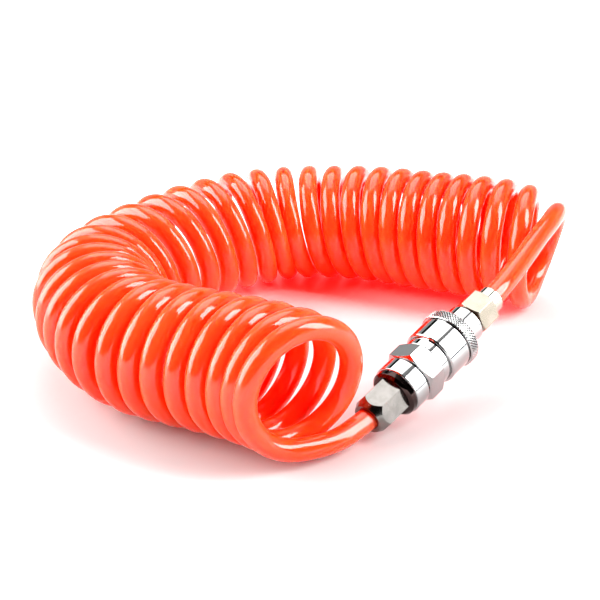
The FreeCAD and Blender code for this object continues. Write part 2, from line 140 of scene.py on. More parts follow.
# Red light scattered inside the translucent coil: its lamps stand low in the rear arm's bore.
GLOW_LAMPS = 12
GLOW_SPAN = (0.02, 0.42)                # first and last lamp, as parts of the axis's length
GLOW_SHIFT = (0, -8, -10)
GLOW_RADIUS = 0.004
GLOW_POWER = 0.055
GLOW_COLOUR = (1.0, 0.0, 0.0)
ROOM_BACK = 0.6
ROOM_FRONT = 0.02
ROOM_FADE = (0.36, 0.6)                 # the room passes from front to back between these, of 0 to 1
SLOT_EDGES = (0.42, 0.435, 0.63, 0.645) # heights where the dark slot fades in and out
SLOT_GREY = 0.03
FLOOR_HALF = 6.0
FLOOR_GREY = 0.6
FLOOR_GLOW = 0.9
FLOOR_GLOW_START = 0.08                 # distance from the middle where the floor starts to brighten
FLOOR_GLOW_END = 0.2

# ---------------------------------------------------------------- coupler
COUPLER_START = Vector((16.0, -63.0, 8.0))
COUPLER_AZIMUTH = math.radians(47.5)
COUPLER_RISE = math.radians(17.0)

# Places along the coupler's axis, from the socket nut's outer face.
SOCKET_NUT_NOSE_END = 3.6
HOSE_GRIP = 7.9
SOCKET_NUT_END = 13.5
SHOULDER_END = 16.5
CHAMBER_START = 20.0
FLANGE_END = 23.0
BODY_HEX_START = 23.6
GASKET_START = 28.0
GASKET_END = 29.0
VALVE_HEAD_START = 29.8
BODY_HEX_END = 31.8
SEAT_START = 32.6
SEAT_END = 34.2
PLUG_NOSE_START = 34.7
PACKING_START = 34.9
SLEEVE_START = 35.5
PACKING_END = 36.7
NECK_END = 37.4
SPRING_END = 42.9
BALL_PLANE = 45.1
KNURL_START = 45.8
RETAINER_START = 47.95
RETAINER_END = 48.95
BODY_END = 50.2
PLUG_COLLAR_START = 50.5
SLEEVE_END = 50.7
PLUG_RELIEF_START = 58.1
PLUG_COLLAR_END = 58.9
PLUG_NUT_START = 59.1
PLUG_HEX_END = 69.2
PLUG_NUT_END = 74.5

# Radii about the coupler's axis.
HOSE_HOLE = 4.1
THREAD_RADIUS = 5.0
NUT_ACROSS_FLATS = 13.0
NUT_NOSE_RADIUS = 5.5
PLUG_TAIL_RADIUS = 5.2
SHOULDER_RADIUS = 8.9
FLANGE_RADIUS = 9.5
STEP_RADIUS = 8.4
BODY_ACROSS_FLATS = 19.0
BODY_THREAD_RADIUS = 7.5
NECK_RADIUS = 9.35
BARREL_RADIUS = 7.7
PLUG_BORE_RADIUS = 6.0
SEAT_RADIUS = 4.5
PACKING_RADIUS = 7.3
RETAINER_GROOVE_RADIUS = 7.2
CHAMBER_RADIUS = 4.5
PASSAGE_RADIUS = 1.8
BARB_RADIUS = 2.2
SOCKET_RIDGE_RADIUS = 2.75
PLUG_RIDGE_RADIUS = 2.4
SLEEVE_BORE = 9.4
SLEEVE_RADIUS = 10.5
SLEEVE_GROOVE_RADIUS = 10.15
LAND_RADIUS = 7.75
CONE_MOUTH_RADIUS = 9.01
CONE_START = 44.26
CONE_END = 47.9
KNURL_RADIUS = 11.4
PLUG_NOSE_RADIUS = 5.95
PLUG_GROOVE_RADIUS = 4.85
PLUG_AIR_RADIUS = 3.2
PLUG_COLLAR_RADIUS = 7.4
PLUG_RELIEF_RADIUS = 6.2

EDGE = 0.3
CHAMFER = 0.5
GAP = 0.05
HEX_SLOPE = math.tan(math.radians(30))
SOCKET_NUT_CORNER = 42.0                # where one corner of each hexagon stands, in degrees
BODY_CORNER = 9.5
PLUG_NUT_CORNER = 44.0
BALL_COUNT = 6
BALL_HOLE_RADIUS = 1.55
BALL_HOLE_DEPTH = 3.0
BALL_HOLE_SIDES = 32
BAR_MARGIN = 1.0                        # a hexagon bar passes the piece that it cuts by this much
BARB_TIP = 1.0                          # from the nut's outer face to the tip of the barb inside it
RIDGE_SHARE = 0.7                       # part of each step of a barb that its ridge rises over
PASSAGE_CONE = 2.0                      # length of the cone where an air passage widens
SEAT_CONE = 0.8
PLUG_NOSE_TAPER = 0.7
PLUG_NOSE_TAPER_LENGTH = 1.2
GROOVE_HALF_FLOOR = 1.0                 # the plug's groove, each way from the balls' plane
GROOVE_HALF_MOUTH = 1.6

KNURL_TEETH = 60
KNURL_STEPS = 6                         # faces across each tooth
KNURL_DEPTH = 0.34
AROUND = KNURL_TEETH * 4                # faces round a plain turned piece
EDGE_ROUNDING = 0.12                    # radius of a finished edge
SETBACK_SHARE = 0.4                     # a rounded corner takes at most this part of a side
EDGE_STEPS = 2
EDGE_ANGLE = 40                         # edges that turn by more degrees than this are broken
SHARP_ANGLE = 28                        # edges that turn by more degrees than this are shaded sharp
FLAT_WEIGHT = 100
PEBBLE_SCALE = 3500
PEBBLE_DEPTH = 0.00006                  # metres

SLEEVE_SPRING = {"mean": 8.5, "wire": 0.3, "start": NECK_END + GAP, "end": SPRING_END, "turns": 2.5}
VALVE_SPRING = {
    "mean": 3.4, "wire": 0.35, "start": CHAMBER_START + GAP, "end": VALVE_HEAD_START - GAP, "turns": 6,
}
SPRING_POINTS_PER_TURN = 32
SPRING_CURVE_STEPS = 2
SPRING_BEVEL_STEPS = 3


def coupler_matrix():
    """From the coupler's own axis, local +Z, to the frame. Both are in metres."""
    turn = Matrix.Rotation(COUPLER_AZIMUTH, 4, "Z") @ Matrix.Rotation(math.pi / 2 - COUPLER_RISE, 4, "Y")
    return Matrix.Translation(COUPLER_START * MM) @ turn


def on_axis(along):
    """A point on the coupler's axis, in millimetres."""
    return (coupler_matrix() @ Vector((0, 0, along * MM))) / MM


# ---------------------------------------------------------------- camera and hose
def make_camera():
    camera = bpy.data.objects.new("camera", bpy.data.cameras.new("camera"))
    bpy.context.scene.collection.objects.link(camera)
    camera.location = CAMERA_PLACE
    camera.rotation_euler = (CAMERA_TARGET - CAMERA_PLACE).to_track_quat("-Z", "Y").to_euler()
    camera.data.lens = LENS
    camera.data.sensor_width = SENSOR_WIDTH
    camera.data.clip_start, camera.data.clip_end = CAMERA_CLIP
    bpy.context.scene.camera = camera


def smooth_curve(name, points_mm, resolution):
    """A curve object of one open spline of order 3 with these control points."""
    curve = bpy.data.curves.new(name, "CURVE")
    curve.dimensions = "3D"
    curve.resolution_u = resolution
    spline = curve.splines.new("NURBS")
    spline.points.add(len(points_mm) - 1)
    for point, place in zip(spline.points, points_mm):
        point.co = (*(Vector(place) * MM), 1)
    spline.order_u = 3
    spline.use_endpoint_u = True
    spline.resolution_u = resolution
    obj = bpy.data.objects.new(name, curve)
    bpy.context.scene.collection.objects.link(obj)
    return obj


def points_along(points_mm, resolution):
    """The places that a smooth curve with these control points goes through, in millimetres."""
    guide = smooth_curve("guide", points_mm, resolution)
    bpy.context.view_layer.update()
    mesh = bpy.data.meshes.new_from_object(guide)
    places = np.array([vertex.co for vertex in mesh.vertices]) / MM
    bpy.data.meshes.remove(mesh)
    curve = guide.data
    bpy.data.objects.remove(guide)
    bpy.data.curves.remove(curve)
    return places


def table_value(turn, table, column):
    return float(np.interp(turn, [row[0] for row in table], [row[column] for row in table]))


def coil_points():
    """The hose's turns, as points from the socket's end of the coil to the plug's end."""
    axis = points_along(COIL_AXIS, ROUTE_STEPS)
    turns = np.linspace(0, COIL_TURNS, len(axis))

    def axis_at(turn):
        return Vector([float(np.interp(turn, turns, axis[:, column])) for column in range(3)])

    steps = round((COIL_TURNS - FIRST_TURN) * POINTS_PER_TURN)
    points = []
    for turn in np.linspace(COIL_TURNS, FIRST_TURN, steps + 1):
        heading = axis_at(turn + HEADING_REACH) - axis_at(turn - HEADING_REACH)
        azimuth = math.atan2(heading.y, heading.x) + math.radians(table_value(turn, COIL_LEAN, 1))
        rise = math.radians(table_value(turn, COIL_LEAN, 2))
        along = Vector((
            math.cos(azimuth) * math.cos(rise),
            math.sin(azimuth) * math.cos(rise),
            math.sin(rise),
        ))
        up = (Vector((0, 0, 1)) - along * along.z).normalized()
        side = along.cross(up)
        angle = 2 * math.pi * turn
        radius = table_value(turn, COIL_RADIUS, 1)
        points.append(axis_at(turn) + (up * math.cos(angle) + side * math.sin(angle)) * radius)
    return points


def make_hose():
    """The whole hose, from its end in the socket's nut round the coil to its end in the plug's nut."""
    points = [on_axis(HOSE_GRIP), on_axis(0)]
    points += [Vector(point) for point in SOCKET_TAIL]
    points += coil_points()
    points += [Vector(point) for point in reversed(PLUG_TAIL)]
    points += [on_axis(PLUG_NUT_END), on_axis(PLUG_NUT_END - HOSE_GRIP)]
    hose = smooth_curve("hose", points, HOSE_CURVE_STEPS)
    hose.data.bevel_depth = HOSE_RADIUS * MM
    hose.data.bevel_resolution = HOSE_BEVEL_STEPS
    hose.data.use_fill_caps = True
    hose.data.materials.append(polyurethane())
    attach(hose, "hose_and_socket")
    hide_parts("hose_coil", "hose_tail_socket", "hose_tail_plug")


# ---------------------------------------------------------------- turned and six-sided metal
def rounded_outline(outline, rounding):
    """The closed outline with each corner replaced by a short arc of three points."""
    points = []
    count = len(outline)
    for number in range(count):
        before, corner, after = (Vector(outline[(number + step) % count]) for step in (-1, 0, 1))
        run_in = corner - before
        run_out = after - corner
        setback = min(rounding, SETBACK_SHARE * run_in.length, SETBACK_SHARE * run_out.length)
        first = corner - run_in.normalized() * setback
        last = corner + run_out.normalized() * setback
        points += [first, (first + last + corner * 2) / 4, last]
    return [(point.x, point.y) for point in points]


def turned_mesh(name, outline, around, relief=None):
    """A closed mesh turned round local Z from a closed outline of (radius, along), in millimetres.

    relief(angle, along) gives the largest radius there, where the surface is not plainly round.
    """
    vertices = []
    for step in range(around):
        angle = 2 * math.pi * step / around
        for radius, along in outline:
            if relief:
                radius = min(radius, relief(angle, along))
            vertices.append((radius * math.cos(angle) * MM, radius * math.sin(angle) * MM, along * MM))
    rows = len(outline)
    faces = []
    for step in range(around):
        here = step * rows
        there = (step + 1) % around * rows
        for row in range(rows):
            up = (row + 1) % rows
            faces.append((here + row, there + row, there + up, here + up))
    mesh = bpy.data.meshes.new(name)
    mesh.from_pydata(vertices, [], faces)
    turn_faces_outwards(mesh)
    return mesh


def turn_faces_outwards(mesh):
    """Gives every face of a closed mesh an outward normal."""
    work = bmesh.new()
    work.from_mesh(mesh)
    bmesh.ops.recalc_face_normals(work, faces=work.faces)
    work.to_mesh(mesh)
    work.free()


def corner_radius(across_flats):
    """From a hexagon's middle to its corners."""
    return across_flats / 2 / math.cos(math.radians(30))


def hexagon_mesh(name, across_flats, start, end, first_corner):
    radius = corner_radius(across_flats) * MM
    vertices = []
    for along in (start * MM, end * MM):
        for number in range(6):
            angle = math.radians(first_corner + 60 * number)
            vertices.append((radius * math.cos(angle), radius * math.sin(angle), along))
    faces = [tuple(range(5, -1, -1)), tuple(range(6, 12))]
    faces += [(number, (number + 1) % 6, (number + 1) % 6 + 6, number + 6) for number in range(6)]
    mesh = bpy.data.meshes.new(name)
    mesh.from_pydata(vertices, [], faces)
    return mesh


def ball_holes_mesh(name):
    """Six short bars where the balls' holes go through the barrel."""
    work = bmesh.new()
    middle = (PLUG_BORE_RADIUS + BARREL_RADIUS) / 2
    for number in range(BALL_COUNT):
        swing = Matrix.Rotation(2 * math.pi * number / BALL_COUNT, 4, "Z")
        place = Matrix.Translation((middle * MM, 0, BALL_PLANE * MM)) @ Matrix.Rotation(math.pi / 2, 4, "Y")
        bmesh.ops.create_cone(
            work,
            cap_ends=True,
            segments=BALL_HOLE_SIDES,
            radius1=BALL_HOLE_RADIUS * MM,
            radius2=BALL_HOLE_RADIUS * MM,
            depth=BALL_HOLE_DEPTH * MM,
            matrix=swing @ place,
        )
    mesh = bpy.data.meshes.new(name)
    work.to_mesh(mesh)
    work.free()
    return mesh


def finished(mesh, cutters=(), edge_width=0.0):
    """The mesh after it is cut. cutters are (operation, mesh). Its edges are then broken slightly."""
    obj = bpy.data.objects.new("work", mesh)
    bpy.context.scene.collection.objects.link(obj)
    tools = []
    for operation, cutter in cutters:
        tool = bpy.data.objects.new("tool", cutter)
        bpy.context.scene.collection.objects.link(tool)
        tools.append(tool)
        modifier = obj.modifiers.new(operation, "BOOLEAN")
        modifier.operation = operation
        modifier.solver = "EXACT"
        modifier.object = tool
    if edge_width:
        bevel = obj.modifiers.new("edges", "BEVEL")
        bevel.width = edge_width * MM
        bevel.segments = EDGE_STEPS
        bevel.limit_method = "ANGLE"
        bevel.angle_limit = math.radians(EDGE_ANGLE)
    result = finished_object(obj)
    for tool in tools:
        bpy.data.objects.remove(tool)
    return result


def finished_object(obj):
    """The mesh of an object after its modifiers. The object is then removed."""
    bpy.context.view_layer.update()
    mesh = bpy.data.meshes.new_from_object(obj.evaluated_get(bpy.context.evaluated_depsgraph_get()))
    bpy.data.objects.remove(obj)
    return mesh


def flat_faces_kept(mesh):
    """The mesh with normals that leave its large faces flat and shade only its broken edges."""
    obj = bpy.data.objects.new("work", mesh)
    bpy.context.scene.collection.objects.link(obj)
    modifier = obj.modifiers.new("normals", "WEIGHTED_NORMAL")
    modifier.keep_sharp = True
    modifier.weight = FLAT_WEIGHT
    return finished_object(obj)


def coupler_piece(name, mesh, metals, slot, body, *nodes, finish=None):
    """A finished piece in its place on the coupler. It stands for the CAD nodes named last."""
    mesh.materials.clear()
    mesh.materials.append(metals[finish or slot])
    mesh.shade_smooth()
    mesh.set_sharp_from_angle(angle=math.radians(SHARP_ANGLE))
    piece = bpy.data.objects.new(name, flat_faces_kept(mesh))
    bpy.context.scene.collection.objects.link(piece)
    piece.matrix_world = coupler_matrix()
    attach(piece, body)
    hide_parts(*nodes)
    return piece


def barb(tip, root, ridge_radius):
    """The outline of a hose barb with two saw-tooth ridges, from its tip to its root."""
    step = (root - tip) / 2
    outline = []
    for number in range(2):
        ridge = tip + (number + RIDGE_SHARE) * step
        outline += [(BARB_RADIUS, tip + number * step), (ridge_radius, ridge), (BARB_RADIUS, ridge)]
    return outline + [(BARB_RADIUS, root)]


def make_socket_nut(metals):
    corner = corner_radius(NUT_ACROSS_FLATS) + GAP
    outline = [
        (HOSE_HOLE, 0), (NUT_NOSE_RADIUS, 0), (corner, SOCKET_NUT_NOSE_END), (corner, SOCKET_NUT_END - EDGE),
        (corner - CHAMFER, SOCKET_NUT_END), (THREAD_RADIUS, SOCKET_NUT_END), (THREAD_RADIUS, HOSE_GRIP),
        (HOSE_HOLE, HOSE_GRIP),
    ]
    bar = hexagon_mesh("bar", NUT_ACROSS_FLATS, -BAR_MARGIN, SOCKET_NUT_END + BAR_MARGIN, SOCKET_NUT_CORNER)
    mesh = finished(turned_mesh("nut", outline, AROUND), [("INTERSECT", bar)], EDGE_ROUNDING)
    coupler_piece("socket_nut_piece", mesh, metals, "satin_nickel", "hose_and_socket", "socket_nut")


def make_socket_adapter(metals):
    outline = [(PASSAGE_RADIUS, BARB_TIP)]
    outline += barb(BARB_TIP, HOSE_GRIP, SOCKET_RIDGE_RADIUS)
    outline += [
        (THREAD_RADIUS, HOSE_GRIP),
        (THREAD_RADIUS, SOCKET_NUT_END),
        (SHOULDER_RADIUS - 2 * CHAMFER, SOCKET_NUT_END),
        (SHOULDER_RADIUS, SOCKET_NUT_END + 2 * CHAMFER),
        (SHOULDER_RADIUS, SHOULDER_END),
        (FLANGE_RADIUS - EDGE, SHOULDER_END),
        (FLANGE_RADIUS, SHOULDER_END + EDGE),
        (FLANGE_RADIUS, FLANGE_END - EDGE),
        (FLANGE_RADIUS - EDGE, FLANGE_END),
        (BODY_THREAD_RADIUS, FLANGE_END),
        (BODY_THREAD_RADIUS, GASKET_START),
        (CHAMBER_RADIUS, GASKET_START),
        (CHAMBER_RADIUS, CHAMBER_START),
        (PASSAGE_RADIUS, CHAMBER_START - PASSAGE_CONE),
    ]
    mesh = turned_mesh("adapter", rounded_outline(outline, EDGE_ROUNDING), AROUND)
    # Its finish paints a dark reflection on the shoulder.
    coupler_piece(
        "socket_adapter_piece", mesh, metals, "polished_chrome", "hose_and_socket", "socket_adapter",
        finish="adapter_chrome",
    )


def hexagon_profile(across_flats, start, end):
    """A bar's outside between two faces, with its corners turned off at 30 degrees."""
    end_radius = across_flats / 2 - CHAMFER
    corner = corner_radius(across_flats) + GAP
    depth = (corner - end_radius) * HEX_SLOPE
    return [(end_radius, start), (corner, start + depth), (corner, end - depth), (end_radius, end)]


def make_socket_body(metals):
    outline = [(BODY_THREAD_RADIUS, FLANGE_END), (STEP_RADIUS, FLANGE_END), (STEP_RADIUS, BODY_HEX_START)]
    outline += hexagon_profile(BODY_ACROSS_FLATS, BODY_HEX_START, BODY_HEX_END)
    outline += [
        (NECK_RADIUS - EDGE, BODY_HEX_END),
        (NECK_RADIUS, BODY_HEX_END + EDGE),
        (NECK_RADIUS, NECK_END - EDGE),
        (NECK_RADIUS - EDGE, NECK_END),
        (BARREL_RADIUS, NECK_END),
        (BARREL_RADIUS, RETAINER_START),
        (RETAINER_GROOVE_RADIUS, RETAINER_START),
        (RETAINER_GROOVE_RADIUS, RETAINER_END),
        (BARREL_RADIUS, RETAINER_END),
        (BARREL_RADIUS, BODY_END - EDGE),
        (BARREL_RADIUS - EDGE, BODY_END),
        (PLUG_BORE_RADIUS + CHAMFER, BODY_END),
        (PLUG_BORE_RADIUS, BODY_END - CHAMFER),
        (PLUG_BORE_RADIUS, PACKING_END),
        (PACKING_RADIUS, PACKING_END),
        (PACKING_RADIUS, PACKING_START),
        (PLUG_BORE_RADIUS, PACKING_START),
        (PLUG_BORE_RADIUS, SEAT_END),
        (SEAT_RADIUS, SEAT_END),
        (SEAT_RADIUS, SEAT_START + SEAT_CONE),
        (PLUG_BORE_RADIUS, SEAT_START),
        (PLUG_BORE_RADIUS, GASKET_END),
        (BODY_THREAD_RADIUS, GASKET_END),
    ]
    bar = hexagon_mesh(
        "bar", BODY_ACROSS_FLATS, FLANGE_END - BAR_MARGIN, BODY_END + BAR_MARGIN, BODY_CORNER
    )
    cutters = [("INTERSECT", bar), ("DIFFERENCE", ball_holes_mesh("holes"))]
    mesh = finished(turned_mesh("body", outline, AROUND), cutters, EDGE_ROUNDING)
    coupler_piece(
        "socket_body_piece", mesh, metals, "polished_chrome", "hose_and_socket", "socket_body"
    )


def diamond_relief(angle, along):
    """The largest radius at a place on the knurled band: two sets of crossing grooves."""
    across = angle / (2 * math.pi) * KNURL_TEETH
    lengthways = (along - KNURL_START) / (2 * math.pi * KNURL_RADIUS / KNURL_TEETH)
    depth = 0.0
    for crossing in (across + lengthways, across - lengthways):
        depth = max(depth, abs(2 * (crossing % 1) - 1))
    return KNURL_RADIUS - KNURL_DEPTH * depth


def make_sleeve(metals):
    bevel_end = KNURL_START + CHAMFER
    outside = [
        (SLEEVE_BORE, SLEEVE_START),
        (SLEEVE_RADIUS - CHAMFER, SLEEVE_START),
        (SLEEVE_RADIUS, SLEEVE_START + CHAMFER),
        (SLEEVE_RADIUS, KNURL_START - CHAMFER),
        (SLEEVE_GROOVE_RADIUS, KNURL_START - CHAMFER),
        (SLEEVE_GROOVE_RADIUS, KNURL_START),
    ]
    inside = [
        (SLEEVE_BORE + CHAMFER, SLEEVE_END),
        (SLEEVE_BORE, SLEEVE_END - CHAMFER),
        (SLEEVE_BORE, CONE_END),
        (CONE_MOUTH_RADIUS, CONE_END),
        (LAND_RADIUS, CONE_START),
        (LAND_RADIUS, SPRING_END + GAP),
        (SLEEVE_BORE, SPRING_END + GAP),
    ]
    edge = [KNURL_START, bevel_end, SLEEVE_END - 2 * CHAMFER, SLEEVE_END]
    radii = [KNURL_RADIUS - CHAMFER, KNURL_RADIUS, KNURL_RADIUS, KNURL_RADIUS - 2 * CHAMFER]
    tooth = 2 * math.pi * KNURL_RADIUS / KNURL_TEETH
    band_steps = round((SLEEVE_END - KNURL_START) / tooth * KNURL_STEPS)
    band = []
    for along in np.linspace(KNURL_START, SLEEVE_END, band_steps + 1):
        band.append((float(np.interp(along, edge, radii)), float(along)))
    rounded_outside = rounded_outline(outside, EDGE_ROUNDING)[2:-1]
    outline = [outside[0]] + rounded_outside + band + inside
    mesh = turned_mesh("sleeve", outline, KNURL_TEETH * KNURL_STEPS, diamond_relief)
    coupler_piece("sleeve_piece", mesh, metals, "sleeve_chrome", "sleeve", "sleeve")


def make_plug_body(metals):
    thread_end = PLUG_NUT_END - HOSE_GRIP - GAP
    tip = PLUG_NUT_END - BARB_TIP
    outline = [
        (PLUG_AIR_RADIUS, PLUG_NOSE_START),
        (PLUG_NOSE_RADIUS - PLUG_NOSE_TAPER, PLUG_NOSE_START),
        (PLUG_NOSE_RADIUS, PLUG_NOSE_START + PLUG_NOSE_TAPER_LENGTH),
        (PLUG_NOSE_RADIUS, BALL_PLANE - GROOVE_HALF_MOUTH),
        (PLUG_GROOVE_RADIUS, BALL_PLANE - GROOVE_HALF_FLOOR),
        (PLUG_GROOVE_RADIUS, BALL_PLANE + GROOVE_HALF_FLOOR),
        (PLUG_NOSE_RADIUS, BALL_PLANE + GROOVE_HALF_MOUTH),
        (PLUG_NOSE_RADIUS, PLUG_COLLAR_START),
        (PLUG_COLLAR_RADIUS - CHAMFER, PLUG_COLLAR_START),
        (PLUG_COLLAR_RADIUS, PLUG_COLLAR_START + CHAMFER),
        (PLUG_COLLAR_RADIUS, PLUG_RELIEF_START - EDGE),
        (PLUG_COLLAR_RADIUS - EDGE, PLUG_RELIEF_START),
        (PLUG_RELIEF_RADIUS, PLUG_RELIEF_START),
        (PLUG_RELIEF_RADIUS, PLUG_COLLAR_END),
        (THREAD_RADIUS, PLUG_COLLAR_END),
        (THREAD_RADIUS, thread_end),
    ]
    outline += reversed(barb(tip, thread_end, PLUG_RIDGE_RADIUS))
    outline += [
        (PASSAGE_RADIUS, tip),
        (PASSAGE_RADIUS, PLUG_COLLAR_END),
        (PLUG_AIR_RADIUS, PLUG_COLLAR_END - PASSAGE_CONE),
    ]
    mesh = turned_mesh("plug", rounded_outline(outline, EDGE_ROUNDING), AROUND)
    # Its finish paints shade in the relief groove between the collar and the nut.
    coupler_piece(
        "plug_body_piece", mesh, metals, "polished_chrome", "plug", "plug_body", finish="plug_chrome"
    )


def make_plug_nut(metals):
    hose_end = PLUG_NUT_END - HOSE_GRIP
    outline = [(THREAD_RADIUS, PLUG_NUT_START)]
    outline += hexagon_profile(NUT_ACROSS_FLATS, PLUG_NUT_START, PLUG_HEX_END)
    outline += [
        (PLUG_TAIL_RADIUS, PLUG_HEX_END),
        (PLUG_TAIL_RADIUS, PLUG_NUT_END - CHAMFER),
        (PLUG_TAIL_RADIUS - CHAMFER, PLUG_NUT_END),
        (HOSE_HOLE, PLUG_NUT_END),
        (HOSE_HOLE, hose_end),
        (THREAD_RADIUS, hose_end),
    ]
    bar = hexagon_mesh(
        "bar", NUT_ACROSS_FLATS, PLUG_NUT_START - BAR_MARGIN, PLUG_NUT_END + BAR_MARGIN, PLUG_NUT_CORNER
    )
    mesh = finished(turned_mesh("nut", outline, AROUND), [("INTERSECT", bar)], EDGE_ROUNDING)
    coupler_piece("plug_nut_piece", mesh, metals, "warm_nickel", "plug", "plug_nut")


def make_spring(name, sizes, metals, body, node):
    """A wire spring that rides with its body on the coupler."""
    height = sizes["end"] - sizes["start"] - 2 * sizes["wire"]
    steps = round(sizes["turns"] * SPRING_POINTS_PER_TURN)
    points = []
    for step in range(steps + 1):
        share = step / steps
        angle = 2 * math.pi * sizes["turns"] * share
        along = sizes["start"] + sizes["wire"] + height * share
        points.append((sizes["mean"] * math.cos(angle), sizes["mean"] * math.sin(angle), along))
    wire = smooth_curve("wire", points, SPRING_CURVE_STEPS)
    wire.data.bevel_depth = sizes["wire"] * MM
    wire.data.bevel_resolution = SPRING_BEVEL_STEPS
    wire.data.use_fill_caps = True
    piece = coupler_piece(name, finished_object(wire), metals, "spring_steel", body, node)
    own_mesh(piece)


# ---------------------------------------------------------------- materials
def new_material(name):
    material = bpy.data.materials.new(name)
    material.use_nodes = True
    return material, material.node_tree, material.node_tree.nodes["Principled BSDF"]


def noise(tree, scale, detail=3.0):
    coordinates = tree.nodes.new("ShaderNodeTexCoord")
    texture = tree.nodes.new("ShaderNodeTexNoise")
    texture.inputs["Scale"].default_value = scale
    texture.inputs["Detail"].default_value = detail
    tree.links.new(coordinates.outputs["Object"], texture.inputs["Vector"])
    return texture.outputs["Fac"]


def ramp(tree, factor, stops):
    """A colour or value ramp over the factor. Each stop is (place, colour)."""
    node = tree.nodes.new("ShaderNodeValToRGB")
    elements = node.color_ramp.elements
    while len(elements) < len(stops):
        elements.new(0.5)
    for element, (place, colour) in zip(elements, stops):
        element.position = place
        element.color = (*colour, 1)
    tree.links.new(factor, node.inputs["Fac"])
    return node.outputs["Color"]


def grey(value):
    return (value, value, value)


def bump(tree, shader, height, strength, distance):
    node = tree.nodes.new("ShaderNodeBump")
    node.inputs["Strength"].default_value = strength
    node.inputs["Distance"].default_value = distance
    tree.links.new(height, node.inputs["Height"])
    tree.links.new(node.outputs["Normal"], shader.inputs["Normal"])


def polyurethane():
    """Glossy translucent orange-red tube."""
    material, tree, shader = new_material("polyurethane")
    tint = ramp(tree, noise(tree, 30, 2), [(0.3, (0.87, 0.06, 0.009)), (0.7, (0.87, 0.082, 0.014))])
    tree.links.new(tint, shader.inputs["Base Color"])
    gloss = ramp(tree, noise(tree, 220, 3), [(0.3, grey(0.05)), (0.7, grey(0.09))])
    tree.links.new(gloss, shader.inputs["Roughness"])
    shader.inputs["Subsurface Weight"].default_value = 1.0
    shader.inputs["Subsurface Radius"].default_value = (1.0, 0.08, 0.03)
    shader.inputs["Subsurface Scale"].default_value = 0.006
    shader.inputs["IOR"].default_value = 1.5
    shader.inputs["Sheen Weight"].default_value = 0.2
    shader.inputs["Sheen Roughness"].default_value = 0.2
    return material


def between(tree, start, end):
    """One between two places along the coupler, and nought elsewhere."""
    coordinates = tree.nodes.new("ShaderNodeTexCoord")
    split = tree.nodes.new("ShaderNodeSeparateXYZ")
    tree.links.new(coordinates.outputs["Object"], split.inputs["Vector"])
    both = tree.nodes.new("ShaderNodeMath")
    both.operation = "MULTIPLY"
    for number, (test, place) in enumerate((("GREATER_THAN", start), ("LESS_THAN", end))):
        side = tree.nodes.new("ShaderNodeMath")
        side.operation = test
        side.inputs[1].default_value = place * MM
        tree.links.new(split.outputs["Z"], side.inputs[0])
        tree.links.new(side.outputs["Value"], both.inputs[number])
    return both.outputs["Value"]


def replaced_where(tree, share, first, second):
    """A colour that gives way to a second one where the share is one."""
    mix = tree.nodes.new("ShaderNodeMix")
    mix.data_type = "RGBA"
    tree.links.new(share, mix.inputs["Factor"])
    tree.links.new(first, mix.inputs["A"])
    mix.inputs["B"].default_value = (*second, 1)
    return mix.outputs["Result"]


def metal(name, low, high, rough_low, rough_high, scale, pebble=0.0, band=None):
    """A plated or turned metal: its tint and its gloss wander a little over the surface.

    A band is a stretch along the coupler with another colour and roughness: (start, end, colour, roughness).
    On some pieces the band is painted shade or a painted dark reflection.
    """
    material, tree, shader = new_material(name)
    tint = ramp(tree, noise(tree, scale), [(0.35, low), (0.65, high)])
    gloss = ramp(tree, noise(tree, scale * 3), [(0.35, grey(rough_low)), (0.65, grey(rough_high))])
    if band:
        start, end, band_colour, band_roughness = band
        share = between(tree, start, end)
        tint = replaced_where(tree, share, tint, band_colour)
        gloss = replaced_where(tree, share, gloss, grey(band_roughness))
    tree.links.new(tint, shader.inputs["Base Color"])
    tree.links.new(gloss, shader.inputs["Roughness"])
    shader.inputs["Metallic"].default_value = 1.0
    if pebble:
        bump(tree, shader, noise(tree, PEBBLE_SCALE, 2), pebble, PEBBLE_DEPTH)
    return material


def chrome(name, band=None):
    return metal(name, grey(0.42), grey(0.46), 0.03, 0.06, 60, band=band)


def satin_nickel():
    return metal("satin_finish", (0.19, 0.178, 0.166), (0.23, 0.216, 0.203), 0.16, 0.22, 300, pebble=0.25)


def warm_nickel(band):
    return metal("warm_finish", (0.29, 0.255, 0.205), (0.33, 0.29, 0.24), 0.14, 0.22, 200, band=band)


def spring_steel():
    return metal("spring_finish", grey(0.45), grey(0.6), 0.2, 0.35, 500)


def ball_steel():
    return metal("ball_finish", grey(0.6), grey(0.66), 0.04, 0.08, 200)


def brass():
    return metal("brass_finish", (0.75, 0.55, 0.24), (0.83, 0.63, 0.3), 0.15, 0.25, 250)


def rubber():
    material, tree, shader = new_material("rubber_finish")
    tint = ramp(tree, noise(tree, 600), [(0.3, grey(0.012)), (0.7, grey(0.03))])
    tree.links.new(tint, shader.inputs["Base Color"])
    shader.inputs["Roughness"].default_value = 0.55
    return material


